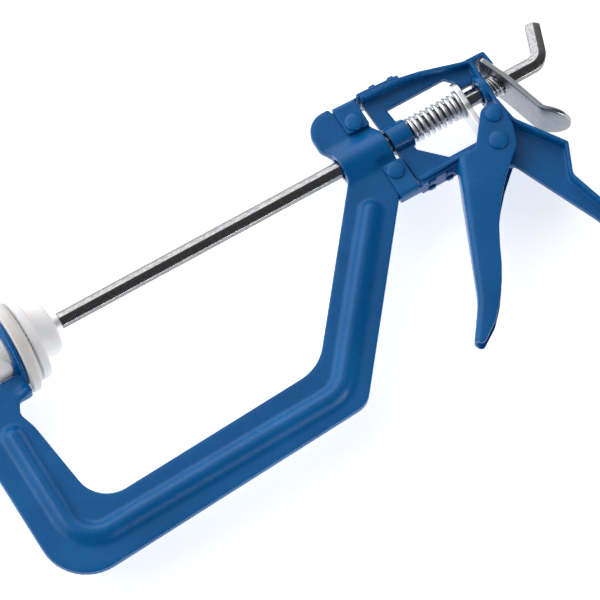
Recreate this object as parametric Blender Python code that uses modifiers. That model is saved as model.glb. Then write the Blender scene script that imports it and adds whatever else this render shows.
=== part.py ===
"""One-handed spring clamp: a pressed C-frame, a sliding hexagon rod and a trigger drive.

World axes, in metres: X along the rod from the fixed jaw to the bent rod end, Z across the
frame, Y from the C-frame's spine towards the rod. The pieces are placed from the middle of the
fixed pad's clamping face, and then all are moved so that the origin is REST_POINT, on the rib
crest that the clamp lies on. Sizes in this file are millimetres, scaled by MM in a mesh.
"""

import math

import bmesh
import bpy
from mathutils import Matrix, Vector

MM = 0.001
GAP = 0.3                      # clearance between neighbouring pieces
ARC_STEP = 15.0                # degrees of an outline's arc per segment
SQUARE = ((-1, -1), (1, -1), (1, 1), (-1, 1))
REST_POINT = (40, -106.2, -6.5)    # the world origin, seen from the middle of the fixed pad

# Sheet-metal frame
SPLIT = GAP / 2                # each pressed half starts this far from the middle plane
FRAME_SHEET = 2.0
FRAME_TOP = SPLIT + FRAME_SHEET
RIB_CROWN = 5.0                # width of the rib's flat crown
RIB_RISE = 4.3                 # height of the rib, and the width of each rounded flank
RIB_GROOVE = 2.5               # the same rise on the inside of the sheet
HEAD_START, HEAD_END = 178.4, 204.4
SEAT_X = -7.1                  # front of the flange that backs the fixed pad
SEAT_RADIUS = 20.0
POCKET_RADIUS = 7.8            # hollow behind the seat, around the pad's stem

# Trigger body: yoke and handle
BODY_SHEET = 1.8
BODY_DEPTH = 8.0               # rim height from the middle plane
WALL_FACE_X = 261.5            # outer face of the yoke's right wall
BORE_RADIUS = 5.2              # clearance hole for the rod
TUNNEL_RADIUS = 7.3            # outside of the half tunnels over the rod

# Rod and pads
ROD_FLATS = 7.4                # hexagon across flats
ROD_BEND_X, ROD_LEG, ROD_LEAN = 291.9, 19.9, 19.5
BEND_RADIUS = 7.0
COLLAR_START, COLLAR_END = 17.1, 21.0
FIXED_PAD_RADIUS, FIXED_PAD_THICK = 24.3, 6.8
MOVING_PAD_RADIUS, HUB_RADIUS = 21.2, 13.3
STEM_RADIUS = 5.0

# Trigger mechanism
PIVOT = (250.1, -29.5)
DRIVE_PIN = (255.1, -16.4)
TRIGGER_SHEET = 1.5
TRIGGER_INSIDE = 8.6           # half the space between the trigger's side plates
TRIGGER_OUTSIDE = TRIGGER_INSIDE + TRIGGER_SHEET
TAPER_START, TAPER = -45.0, 0.075    # the trigger narrows by TAPER per mm below TAPER_START
DRIVE_PLATE_X, DRIVE_PLATE_THICK = 246.0, 3.0
RELEASE_PATH = [(264.2, 10.8, 0), (270.0, -3.1, 40), (276.9, -26.7, 6), (287.9, -35.8, 0)]
RELEASE_THICK, RELEASE_HALF_WIDTH = 2.4, 13.5

# Straps and rivets that join the head to the trigger body
STRAP_SHEET = 1.5
TAB_LOW = FRAME_TOP + GAP
TAB_HIGH = TAB_LOW + 2.0
UPPER_RIVET, LOWER_RIVET = (195.8, 16.4), (200.3, -15.6)
HOLE_PLAY = 0.3
STRAP_TABS = (213.0, 223.0)    # where the body's tabs come through the straps
STRAP_TAB_SIZE = (3.4, 3.0)    # their length along X and across Z
STRAP_TAB_MIDDLE = 3.6         # their distance from the middle plane

# Outlines, as corners (x, y, corner radius), anticlockwise unless said otherwise
FRAME_OUTLINE = [
    (-8.2, 18.5, 3), (-24, 20.5, 14), (-45, -2, 16), (-44.6, -124.3, 24),
    (126.7, -113.1, 12), (204.4, -16.4, 4), (204.4, 6.5, 2), (202.3, 11.5, 1.5),
    (202.3, 26.4, 1), (190, 26.4, 0.5), (189, 29.6, 1.4), (174.4, 29.6, 11),
    (174.4, 12.5, 5), (178.4, 7, 3), (178.4, -7.9, 4), (116.1, -85.1, 24),
    (-10.2, -92.4, 16.5), (-16.9, -31.5, 4), (-15.8, -26, 2.5), (-8.2, -25.6, 1),
]
RIB_PATH = [(-30, -40, 0), (-30, -109.5, 15), (119, -102, 18), (179.5, -27.5, 0)]

BODY_TOP = [
    (204.6, 25.9, 0), (226, 24.6, 10), (236, 22.6, 15), (257, 16.2, 8),
    (268.8, 15.9, 1.2), (269.8, 8.2, 0),
]
BODY_POCKET = [(268.0, 8.0, 0), (267.2, 13.8, 0.6), (WALL_FACE_X, 13.8, 0.6)]
BODY_BACK = [
    (WALL_FACE_X, -8, 6), (263.3, -22.5, 8), (279.6, -46.4, 1.6), (272.7, -62.3, 5),
    (277.2, -78, 60), (287.5, -111, 40), (294.5, -129, 6), (280.5, -132, 6),
]
BODY_FRONT = [
    (278.3, -111, 40), (272.3, -87, 40), (251.6, -40, 5), (245.5, -41, 5),
    (239, -36.5, 5), (234.5, -27.7, 1), (207.7, -27.7, 0.5),
]
WINDOW = [
    (213.6, 15.2, 0.5), (215.6, -10.5, 1), (227, -21.8, 1), (259.2, -21.8, 1),
    (259.2, 6.4, 1), (249.4, 6.4, 1), (249.4, 11.6, 1), (246, 15.2, 1),
]

TRIGGER_FRONT = [(228.3, -27.6, 3), (199.5, -94.5, 40), (187.2, -111.5, 1)]
TRIGGER_TIP = (190.2, -115.6, 2)
TRIGGER_BACK = [
    (201, -108.3, 8), (213.8, -93.8, 25), (230, -61.6, 40), (243, -47.3, 60), (256.5, -35.8, 9),
    (260.9, -25, 12), (260.9, -10.9, 5.6), (251.3, -10.9, 4.5), (238.4, -27.4, 4),
]


# ---------------------------------------------------------------- outlines

def fillet(corners, closed=True):
    """Corner points with radii turned into the points of an outline with round corners."""
    points = []
    for index, (x, y, radius) in enumerate(corners):
        here = Vector((x, y))
        is_end = not closed and index in (0, len(corners) - 1)
        if radius <= 0 or is_end:
            points.append(here)
            continue
        back = (Vector(corners[index - 1][:2]) - here).normalized()
        ahead = (Vector(corners[(index + 1) % len(corners)][:2]) - here).normalized()
        half = back.angle(ahead) / 2
        turn = math.pi - 2 * half
        if turn < math.radians(1):
            points.append(here)
            continue
        centre = here + (back + ahead).normalized() * radius / math.sin(half)
        start = here + back * radius / math.tan(half) - centre
        side = 1 if back.x * ahead.y - back.y * ahead.x < 0 else -1
        steps = max(1, round(math.degrees(turn) / ARC_STEP))
        for step in range(steps + 1):
            points.append(centre + Matrix.Rotation(side * turn * step / steps, 2) @ start)
    return points


def offset(corners, distance):
    """An open run of corners moved to its left by distance, with its radii adjusted."""
    places = [Vector(corner[:2]) for corner in corners]
    ways = [(b - a).normalized() for a, b in zip(places, places[1:])]
    lefts = [Vector((-way.y, way.x)) for way in ways]
    moved = []
    for index, (x, y, radius) in enumerate(corners):
        before, after = lefts[max(index - 1, 0)], lefts[min(index, len(lefts) - 1)]
        mean = (before + after).normalized()
        place = Vector((x, y)) + mean * distance / mean.dot(after)
        bend = before.x * after.y - before.y * after.x
        radius = radius - distance if bend > 0 else radius + distance
        moved.append((place.x, place.y, max(radius, 0.3)))
    return moved


def ribbon(corners, width):
    """The closed outline of a band of this width along an open run of corners."""
    left, right = offset(corners, width / 2), offset(corners, -width / 2)
    ends = [[(x, y, width / 2 - 0.05) for x, y, _ in (side[0], side[-1])] for side in (left, right)]
    left = [ends[0][0], *left[1:-1], ends[0][1]]
    right = [ends[1][0], *right[1:-1], ends[1][1]]
    return left + right[::-1]


# ---------------------------------------------------------------- solids

def collection(name):
    made = bpy.data.collections.new(name)
    bpy.context.scene.collection.children.link(made)
    return made


def link(obj):
    TOOLS.objects.link(obj)
    obj.hide_render = True
    obj.display_type = "WIRE"
    return obj


def mesh_object(bm, name="tool"):
    bmesh.ops.recalc_face_normals(bm, faces=bm.faces)
    if bm.calc_volume(signed=True) < 0:
        bmesh.ops.reverse_faces(bm, faces=bm.faces)
    mesh = bpy.data.meshes.new(name)
    bm.to_mesh(mesh)
    bm.free()
    return link(bpy.data.objects.new(name, mesh))


def curve_to_mesh(curve_object):
    """The curve as a closed mesh object, with its caps welded on; the curve is removed."""
    bpy.context.view_layer.update()
    evaluated = curve_object.evaluated_get(bpy.context.evaluated_depsgraph_get())
    bm = bmesh.new()
    bm.from_mesh(bpy.data.meshes.new_from_object(evaluated))
    bmesh.ops.remove_doubles(bm, verts=bm.verts, dist=0.002 * MM)
    bm.transform(curve_object.matrix_world)
    bpy.data.objects.remove(curve_object)
    return mesh_object(bm)


def flat_solid(outlines, low, high, bevel=0.0):
    """A plate between two heights. The first outline is its edge, and the others are holes."""
    curve = bpy.data.curves.new("outline", "CURVE")
    curve.dimensions = "2D"
    curve.fill_mode = "BOTH"
    curve.extrude = (high - low) / 2 * MM
    curve.bevel_depth = bevel * MM
    curve.bevel_resolution = 1
    for corners in outlines:
        points = fillet(corners)
        spline = curve.splines.new("POLY")
        spline.points.add(len(points) - 1)
        for point, place in zip(spline.points, points):
            point.co = (place.x * MM, place.y * MM, 0, 1)
        spline.use_cyclic_u = True
    holder = link(bpy.data.objects.new("outline", curve))
    holder.location.z = (low + high) / 2 * MM
    return curve_to_mesh(holder)


def box(low, high):
    bm = bmesh.new()
    bmesh.ops.create_cube(bm, size=MM)
    low, high = Vector(low), Vector(high)
    bmesh.ops.scale(bm, vec=high - low, verts=bm.verts)
    bmesh.ops.translate(bm, vec=(low + high) / 2 * MM, verts=bm.verts)
    return mesh_object(bm)


def rod_between(start, end, radius, end_radius=None, sides=28, stretch=1.0):
    """A cylinder or cone between two points; stretch widens it along Y."""
    start, end = Vector(start) * MM, Vector(end) * MM
    bm = bmesh.new()
    bmesh.ops.create_cone(
        bm, cap_ends=True, segments=sides, depth=(end - start).length,
        radius1=radius * MM, radius2=(radius if end_radius is None else end_radius) * MM,
    )
    turn = Vector((0, 0, 1)).rotation_difference(end - start).to_matrix().to_4x4()
    bm.transform(Matrix.Translation((start + end) / 2) @ Matrix.Scale(stretch, 4, (0, 1, 0)) @ turn)
    return mesh_object(bm)


def turned(profile, place=(0, 0, 0), along="X", closed=False, steps=32):
    """A turned piece. The profile is (radius, height) from the top, down its outer side."""
    mesh = bpy.data.meshes.new("profile")
    count = len(profile)
    edges = [(i, i + 1) for i in range(count - 1)] + ([(count - 1, 0)] if closed else [])
    mesh.from_pydata([(radius * MM, 0, height * MM) for radius, height in profile], edges, [])
    obj = link(bpy.data.objects.new("turned", mesh))
    obj.location = Vector(place) * MM
    if along == "X":
        obj.rotation_euler.y = math.pi / 2
    screw = obj.modifiers.new("turn", "SCREW")
    screw.angle = math.tau
    screw.steps = steps
    screw.render_steps = steps
    screw.use_merge_vertices = True
    screw.merge_threshold = 0.002 * MM
    return obj


def coil(start, end, radius, wire, turns, closed_turns=1.0, slope=0.0, points_per_turn=14):
    """A compression spring around the rod, with its end turns closed up.

    slope leans the far end's turns so that they lie against a sloping plate.
    """
    pitch_closed = wire * 1.12
    rise = (end - start - wire) - 2 * closed_turns * pitch_closed
    pitch = rise / (turns - 2 * closed_turns)
    curve = bpy.data.curves.new("coil", "CURVE")
    curve.dimensions = "3D"
    curve.bevel_depth = wire / 2 * MM
    curve.bevel_resolution = 2
    curve.use_fill_caps = True
    count = round(turns * points_per_turn) + 1
    spline = curve.splines.new("POLY")
    spline.points.add(count - 1)
    for index, point in enumerate(spline.points):
        turn = index * turns / (count - 1)
        opened = min(max(turn - closed_turns, 0), turns - 2 * closed_turns)
        x = start + wire / 2 + opened * pitch + (turn - opened) * pitch_closed
        angle = turn * math.tau
        place = Vector((x, radius * math.cos(angle), radius * math.sin(angle)))
        place.x -= place.y * slope * turn / turns
        point.co = (*(place * MM), 1)
    return link(bpy.data.objects.new("coil", curve))


def combine(target, operation, *tools):
    """Boolean the tools into the target, in order."""
    for tool in tools:
        step = target.modifiers.new(operation.lower(), "BOOLEAN")
        step.operation = operation
        step.solver = "EXACT"
        step.object = tool
    return target


def add(target, *tools):
    return combine(target, "UNION", *tools)


def cut(target, *tools):
    return combine(target, "DIFFERENCE", *tools)


def material(name, colour, metallic, roughness):
    made = bpy.data.materials.new(name)
    made.use_nodes = True
    shader = made.node_tree.nodes["Principled BSDF"]
    shader.inputs["Base Color"].default_value = (*colour, 1)
    shader.inputs["Metallic"].default_value = metallic
    shader.inputs["Roughness"].default_value = roughness
    return made


def part(name, obj, finish, joint=None):
    """Name a finished piece, show it, and hang it on its joint's empty."""
    TOOLS.objects.unlink(obj)
    PARTS.objects.link(obj)
    obj.name = name
    obj.data.name = name
    obj.hide_render = False
    obj.display_type = "TEXTURED"
    if joint:
        obj.location -= joint.location
        obj.parent = joint
    if obj.type == "MESH":
        obj.data.shade_smooth()
        obj.data.set_sharp_from_angle(angle=math.radians(35))
    made = FINISHES[finish].copy()
    made.name = name
    obj.data.materials.append(made)
    return obj


def joint_empty(name, x, y):
    empty = bpy.data.objects.new(name, None)
    empty.location = (x * MM, y * MM, 0)
    PARTS.objects.link(empty)
    return empty


def mirrored(build):
    """The same pressing for both sides: build(side) with side +1 in front and -1 behind."""
    for side, name in ((1, "front"), (-1, "rear")):
        build(side, name)


def flipped(obj, side):
    """Mirror a mesh object through the middle plane when side is -1."""
    if side < 0:
        obj.data.transform(Matrix.Scale(-1, 4, (0, 0, 1)))
        obj.data.flip_normals()
    return obj


# ---------------------------------------------------------------- the pressed C-frame

def frame_half(side, name):
    half = flat_solid([FRAME_OUTLINE], -1, FRAME_TOP)
    bead = flat_solid([ribbon(RIB_PATH, RIB_CROWN)], FRAME_TOP - 0.05, FRAME_TOP + 0.05, RIB_RISE)
    groove = flat_solid(
        [ribbon(RIB_PATH, RIB_CROWN)], FRAME_TOP - 0.05, FRAME_TOP + 0.05, RIB_GROOVE
    )
    tunnel = rod_between((HEAD_START - 0.4, 0, 0), (HEAD_END + 0.4, 0, 0), TUNNEL_RADIUS)
    bore = rod_between((HEAD_START - 5, 0, 0), (HEAD_END + 5, 0, 0), BORE_RADIUS)
    seat = rod_between((SEAT_X - FRAME_SHEET, 0, 0), (SEAT_X, 0, 0), SEAT_RADIUS, sides=40)
    barrel = rod_between((-34, 0, 0), (SEAT_X - 1, 0, 0), 9.6, 11)
    pocket = rod_between((-31, 0, 0), (SEAT_X - FRAME_SHEET, 0, 0), POCKET_RADIUS)
    stem_hole = rod_between((-12, 0, 0), (0, 0, 0), STEM_RADIUS + 2 * HOLE_PLAY)
    window = box((-22, -13, 4.5), (-10.5, 3, 20))
    below = box((-60, -140, -30), (230, 40, SPLIT))
    rivet_holes = [
        rod_between((*place, -2), (*place, 8), RIVET_SHANK + HOLE_PLAY, sides=16)
        for place in (UPPER_RIVET, LOWER_RIVET)
    ]
    tools = (bead, tunnel, seat, barrel, groove, bore, pocket, stem_hole, window, below)
    for piece in (half, *tools, *rivet_holes):
        flipped(piece, side)
    add(half, bead, tunnel, seat, barrel)
    cut(half, groove, bore, pocket, stem_hole, window, *rivet_holes, below)
    part(f"frame_{name}_half", half, "paint")


# ---------------------------------------------------------------- yoke and handle shells

def strap_tab(x, y_low, y_high, play=0.0):
    """The body's tab through a strap, or with play, the slot it passes through."""
    length, width = STRAP_TAB_SIZE
    half_length, half_width = length / 2 + play, width / 2 + play
    return box(
        (x - half_length, y_low, STRAP_TAB_MIDDLE - half_width),
        (x + half_length, y_high, STRAP_TAB_MIDDLE + half_width),
    )


def body_shell(side, name):
    edge = BODY_TOP + BODY_POCKET + BODY_BACK + BODY_FRONT
    shell = flat_solid([edge[::-1], WINDOW], -1, BODY_DEPTH)
    back = [(WALL_FACE_X, 13.8, 0), *BODY_BACK]
    inner_top = offset(BODY_TOP[:4], -BODY_SHEET)
    inner_back = offset(back, -BODY_SHEET)
    inner_top[0] = (200, inner_top[0][1], 0)
    inner_top[-1] = (inner_back[0][0], 13.8, 1)
    lower = [(251.6, -48, 0), (236.3, -38, 0), (236.3, -25.9, 0.5), (200, -25.9, 0)]
    recess_outline = inner_top + inner_back[1:] + [(274, -132, 0), (266, -87, 0)] + lower
    recess = flat_solid([recess_outline], SPLIT + BODY_SHEET, BODY_DEPTH + 4)
    strip_tunnel = rod_between((206.6, 0, 0), (217, 0, 0), TUNNEL_RADIUS)
    wall_tunnel = rod_between((257.4, 0, 0), (261.2, 0, 0), TUNNEL_RADIUS)
    boss = rod_between((*PIVOT, SPLIT + 0.5), (*PIVOT, TRIGGER_INSIDE - GAP), 5.5, sides=20)
    bore = rod_between((200, 0, 0), (272, 0, 0), BORE_RADIUS)
    pin_hole = rod_between((*PIVOT, -2), (*PIVOT, 12), PIVOT_SHANK + HOLE_PLAY, sides=16)
    below = box((190, -150, -30), (310, 40, SPLIT))
    tabs = [strap_tab(x, 24, top) for x, top in zip(STRAP_TABS, (28.4, 27.8))]
    tabs += [strap_tab(x, -30.4, -26.6) for x in STRAP_TABS]
    cutters = (recess, bore, pin_hole, below)
    for piece in (shell, strip_tunnel, wall_tunnel, boss, *tabs, *cutters):
        flipped(piece, side)
    cut(shell, recess)
    add(shell, strip_tunnel, wall_tunnel, boss, *tabs)
    cut(shell, bore, pin_hole, below)
    part(f"body_{name}_shell", shell, "paint")


# ---------------------------------------------------------------- straps and rivets

RIVET_SHANK, RIVET_HEAD = 2.6, 4.5
PIVOT_SHANK, PIVOT_HEAD = 3.0, 4.7
DRIVE_SHANK, DRIVE_HEAD = 2.5, 4.1


def strap(name, tab, band, outward, half_width, rivet):
    """A band along the head and yoke with a tab down each side of the head.

    tab is (x0, x1, y of the tab's free end). band is the band's inner face as corners from
    above the tab to the yoke. outward is +1 for the top band and -1 for the bottom one.
    half_width is half the band's width on the yoke; over the head it is TAB_HIGH.
    """
    start, end, free_end = tab
    outer = offset(band, STRAP_SHEET * outward)
    level = band[0][1]
    corner = (end, level, 1.5)
    side_view = [(start, free_end, 1.5), (end, free_end, 1.5), corner, *band[1:]]
    side_view += [(x, y, 0.6) for x, y, _ in outer[:0:-1]] + [(start, outer[0][1], 0.6)]
    made = flat_solid([side_view], -half_width, half_width)
    far = level + outward * 20
    shoulders = [
        box((start - 5, -60, side * TAB_HIGH - 5 + 5 * side), (end + 1.2, 60, side * TAB_HIGH + 5 + 5 * side))
        for side in (1, -1)
    ]
    low, high = sorted((level, free_end - outward * 5))
    between = box((start - 5, low, -TAB_LOW), (end + 0.6, high, TAB_LOW))
    hole = rod_between((*rivet, -10), (*rivet, 10), RIVET_SHANK + HOLE_PLAY, sides=16)
    y_low, y_high = sorted((far, level - outward * 5))
    slots = [
        flipped(strap_tab(x, y_low, y_high, HOLE_PLAY), side) for x in STRAP_TABS for side in (1, -1)
    ]
    cut(made, *shoulders, between, hole, *slots)
    part(name, made, "paint")


def straps():
    upper = [(190.4, 26.8, 0), (204.5, 26.3, 8), (226.5, 24.95, 0)]
    strap("upper_strap", (190.4, 202.4, 11.2), upper, 1, 7.2, UPPER_RIVET)
    lower = [(195.6, -28, 0), (230.5, -28, 0)]
    strap("lower_strap", (195.6, 206.3, -9.2), lower, -1, 5.9, LOWER_RIVET)


def rivet(name, place, shank, head, reach, dome, finish="paint", joint=None):
    """A rivet across the frame: shank radius, head radius, head's inner face and dome height."""
    top = reach + dome
    outer = [
        (0, top), (head * 0.55, top - dome * 0.14), (head * 0.88, top - dome * 0.5),
        (head, reach + 0.2), (head, reach), (shank, reach),
    ]
    profile = outer + [(radius, -height) for radius, height in outer[::-1]]
    made = turned(profile, (*place, 0), along="Z", steps=20)
    part(name, made, finish, joint)


# ---------------------------------------------------------------- rod and pads

def clamp_rod(joint):
    corner_radius = ROD_FLATS / math.sqrt(3)
    hexagon = bpy.data.curves.new("hexagon", "CURVE")
    hexagon.dimensions = "2D"
    ring = hexagon.splines.new("POLY")
    ring.points.add(5)
    for index, point in enumerate(ring.points):
        angle = math.radians(60 * index + 90)
        point.co = (corner_radius * math.cos(angle) * MM, corner_radius * math.sin(angle) * MM, 0, 1)
    ring.use_cyclic_u = True
    guide = link(bpy.data.objects.new("hexagon", hexagon))

    lean = math.radians(ROD_LEAN)
    leg = Vector((math.sin(lean), math.cos(lean)))
    tip = Vector((ROD_BEND_X, 0)) + leg * ROD_LEG
    shoulder = tip - leg * 1.2
    bent = [(COLLAR_END, 0, 0), (ROD_BEND_X, 0, BEND_RADIUS), (*shoulder, 0)]
    points = fillet(bent, closed=False) + [tip]
    path = bpy.data.curves.new("rod", "CURVE")
    path.dimensions = "3D"
    path.twist_mode = "Z_UP"
    path.bevel_mode = "OBJECT"
    path.bevel_object = guide
    path.use_fill_caps = True
    line = path.splines.new("POLY")
    line.points.add(len(points) - 1)
    for point, place in zip(line.points, points):
        point.co = (place.x * MM, place.y * MM, 0, 1)
    line.points[-1].radius = 0.8
    rod = curve_to_mesh(link(bpy.data.objects.new("rod", path)))
    bpy.data.objects.remove(guide)
    spigot = turned([
        (0, COLLAR_END + 1), (3.2, COLLAR_END + 1), (3.2, 9.5), (5, 8.6), (5, 5.4), (4, 4.2), (0, 4.2),
    ], steps=20)
    add(rod, spigot)
    part("clamp_rod", rod, "chrome", joint)


def pads(rod_joint, pad_joint):
    chamfer = 2.6
    fixed = turned([
        (0, 0), (FIXED_PAD_RADIUS - 3.2, 0), (FIXED_PAD_RADIUS, -chamfer),
        (FIXED_PAD_RADIUS, -FIXED_PAD_THICK), (STEM_RADIUS, -FIXED_PAD_THICK),
        (STEM_RADIUS, -14), (STEM_RADIUS - 0.9, -14), (STEM_RADIUS - 0.9, -16),
        (STEM_RADIUS, -16), (STEM_RADIUS, -21), (STEM_RADIUS - 1.5, -23), (0, -23),
    ], steps=40)
    part("fixed_pad", fixed, "nylon")
    clip = turned([
        (STEM_RADIUS - 0.6, -14.4), (7.2, -14.4), (7.2, -15.6), (STEM_RADIUS - 0.6, -15.6),
    ], closed=True, steps=24)
    part("fixed_pad_clip", clip, "zinc")
    hub_end = COLLAR_START - 0.4
    moving = turned([
        (0, 3.4), (5.5, 3.4), (5.5, 8.9), (3.6, 9.9), (3.6, hub_end), (HUB_RADIUS - 3.5, hub_end),
        (HUB_RADIUS - 0.7, hub_end - 1.6), (HUB_RADIUS, hub_end - 3.6), (HUB_RADIUS + 0.5, 5.6),
        (MOVING_PAD_RADIUS - 0.6, 5.6), (MOVING_PAD_RADIUS, 4.8), (MOVING_PAD_RADIUS, 1.2),
        (MOVING_PAD_RADIUS - 1, GAP), (0, GAP),
    ], steps=40)
    part("moving_pad", moving, "nylon", pad_joint)
    collar = turned([
        (3.6, COLLAR_END - 0.3), (5.4, COLLAR_END - 0.3), (5.4, COLLAR_START), (3.6, COLLAR_START),
    ], closed=True, steps=24)
    part("pad_retaining_collar", collar, "steel", rod_joint)


# ---------------------------------------------------------------- trigger and drive

def reshape(obj, action):
    bm = bmesh.new()
    bm.from_mesh(obj.data)
    action(bm)
    bm.to_mesh(obj.data)
    bm.free()


def fold_and_taper(obj, radius):
    """Round a trigger solid's finger-side folds, then narrow it towards the tip."""
    start, end = Vector((234, -30)) * MM, Vector((191, -114)) * MM

    def on_fold(edge):
        a, b = (vert.co for vert in edge.verts)
        run = b - a
        steep = abs(run.y) > abs(run.x) > 0 and run.length > 2.5 * MM
        in_front = (end - start).cross(((a + b) / 2).to_2d() - start) < 0
        return steep and abs(run.z) < 1e-9 and in_front

    def action(bm):
        folds = [edge for edge in bm.edges if on_fold(edge)]
        bmesh.ops.bevel(
            bm, geom=folds, offset=radius * MM, segments=3, profile=0.5, affect="EDGES"
        )
        geometry = [*bm.verts, *bm.edges, *bm.faces]
        level = TAPER_START * MM
        bmesh.ops.bisect_plane(bm, geom=geometry, plane_co=(0, level, 0), plane_no=(0, 1, 0))
        for vert in bm.verts:
            if vert.co.y < level:
                vert.co.z -= math.copysign((level - vert.co.y) * TAPER, vert.co.z)

    reshape(obj, action)


def trigger(joint):
    outline = TRIGGER_FRONT + [TRIGGER_TIP] + TRIGGER_BACK
    lever = flat_solid([outline], -TRIGGER_OUTSIDE, TRIGGER_OUTSIDE)
    fold_and_taper(lever, 4)
    inner = offset(TRIGGER_FRONT, TRIGGER_SHEET)
    inner[0] = (inner[0][0] - 2, -32.5, 0)
    hollow_outline = [(270, 5, 0), (215, 5, 0), (215, -32.5, 0), *inner, (190, -125, 0), (270, -125, 0)]
    hollow = flat_solid([hollow_outline], -TRIGGER_INSIDE, TRIGGER_INSIDE)
    fold_and_taper(hollow, 4 - TRIGGER_SHEET)
    cut(lever, hollow)
    for place, shank in ((PIVOT, PIVOT_SHANK), (DRIVE_PIN, DRIVE_SHANK)):
        cut(lever, rod_between((*place, -14), (*place, 14), shank + HOLE_PLAY, sides=16))
    part("trigger_lever", lever, "paint", joint)


def drive_plate(joint):
    """A thick plate round the rod, with a pad on its foot for the trigger's drive pin."""
    outline = [(-7, -20.5, 1), (7, -20.5, 1), (7, -7, 2), (8, -4, 2), (8, 11, 8), (-8, 11, 8)]
    outline += [(-8, -4, 2), (-7, -7, 2)]
    hole = [(BORE_RADIUS * x, BORE_RADIUS * y, BORE_RADIUS) for x, y in SQUARE]
    plate = flat_solid([outline, hole], 0, DRIVE_PLATE_THICK)
    plate.rotation_euler.y = math.pi / 2
    plate.location.x = DRIVE_PLATE_X * MM
    pad_end = DRIVE_PIN[0] - DRIVE_SHANK - GAP
    add(plate, box((DRIVE_PLATE_X + 1, -19.9, -6.4), (pad_end, -12.6, 6.4)))
    part("drive_plate", plate, "zinc", joint)
    washer = turned([
        (BORE_RADIUS, DRIVE_PLATE_X - GAP), (7.4, DRIVE_PLATE_X - GAP),
        (7.4, DRIVE_PLATE_X - GAP - 1.2), (BORE_RADIUS, DRIVE_PLATE_X - GAP - 1.2),
    ], closed=True, steps=28)
    part("drive_spring_washer", washer, "zinc", joint)


def springs():
    washer_face = DRIVE_PLATE_X - GAP - 1.2
    part("drive_spring", coil(217.4, washer_face - GAP, 6.05, 1.5, 9.5), "zinc")
    release = coil(261.8, 266.9, 5.6, 0.9, 3.2, closed_turns=0.6, slope=0.42)
    part("release_spring", release, "zinc")


def release_plate(joint):
    """A wide strip hooked behind the yoke's top corner, with a bent thumb tab below."""
    half = RELEASE_THICK / 2
    outline = offset(RELEASE_PATH, half) + offset(RELEASE_PATH, -half)[::-1]
    plate = flat_solid([outline], -RELEASE_HALF_WIDTH, RELEASE_HALF_WIDTH)
    bend, end = (Vector((x, y, 0)) for x, y, _ in RELEASE_PATH[2:])
    way = (end - bend).normalized()

    # The tab's end is rounded by taking away the square outside of a large disc.
    middle = end - way * RELEASE_HALF_WIDTH
    square = box((0, -20, -8), (20, 20, 8))
    cut(square, rod_between((0, 0, -9), (0, 0, 9), RELEASE_HALF_WIDTH + 0.01, sides=40))
    across = Vector((0, 0, 1))
    axes = Matrix((way, across, way.cross(across))).transposed().to_4x4()
    axes.translation = middle * MM
    for tool in (square, square.modifiers[0].object):
        tool.matrix_world = axes

    hinge, knee = (Vector(corner[:2]) for corner in RELEASE_PATH[:2])
    slope = math.atan2(knee.x - hinge.x, hinge.y - knee.y)
    hole = rod_between((-8, 0, 0), (8, 0, 0), BORE_RADIUS, stretch=1.1)
    hole.location.x = (hinge.x + hinge.y * math.tan(slope)) * MM
    hole.rotation_euler.z = slope
    cut(plate, square, hole)
    part("release_plate", plate, "zinc", joint)


# ---------------------------------------------------------------- the object

for old in list(bpy.data.objects):
    bpy.data.objects.remove(old, do_unlink=True)
PARTS = collection("spring_clamp")
TOOLS = collection("cutters")
FINISHES = {
    "paint": material("blue powder coat", (0.008, 0.085, 0.30), 0.0, 0.32),
    "zinc": material("bright zinc", (0.72, 0.73, 0.74), 1.0, 0.28),
    "steel": material("plain steel", (0.45, 0.45, 0.46), 1.0, 0.35),
    "chrome": material("bright rod", (0.78, 0.78, 0.79), 1.0, 0.16),
    "nylon": material("white nylon", (0.86, 0.86, 0.84), 0.0, 0.45),
}

rod_slide = joint_empty("rod_slide", 0, 0)
pad_swivel = joint_empty("pad_swivel", 0, 0)
trigger_pivot = joint_empty("trigger_pivot", *PIVOT)
plate_slide = joint_empty("drive_plate_slide", DRIVE_PLATE_X, 0)
release_hinge = joint_empty("release_hinge", *RELEASE_PATH[0][:2])

mirrored(frame_half)
mirrored(body_shell)
straps()
rivet("upper_head_rivet", UPPER_RIVET, RIVET_SHANK, RIVET_HEAD, TAB_HIGH + GAP, 1.7)
rivet("lower_head_rivet", LOWER_RIVET, RIVET_SHANK, RIVET_HEAD, TAB_HIGH + GAP, 1.7)
head_face = TRIGGER_OUTSIDE + GAP
rivet("trigger_pivot_pin", PIVOT, PIVOT_SHANK, PIVOT_HEAD, head_face, 1.6)
rivet("drive_pin", DRIVE_PIN, DRIVE_SHANK, DRIVE_HEAD, head_face, 1.8, joint=trigger_pivot)
clamp_rod(rod_slide)
pads(rod_slide, pad_swivel)
trigger(trigger_pivot)
drive_plate(plate_slide)
springs()
release_plate(release_hinge)

for root in bpy.data.objects:
    if root.parent is None:
        root.location -= Vector(REST_POINT) * MM
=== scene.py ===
import math

import bmesh
import bpy
import numpy as np
from mathutils import Matrix, Vector
from mathutils.geometry import delaunay_2d_cdt


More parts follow.
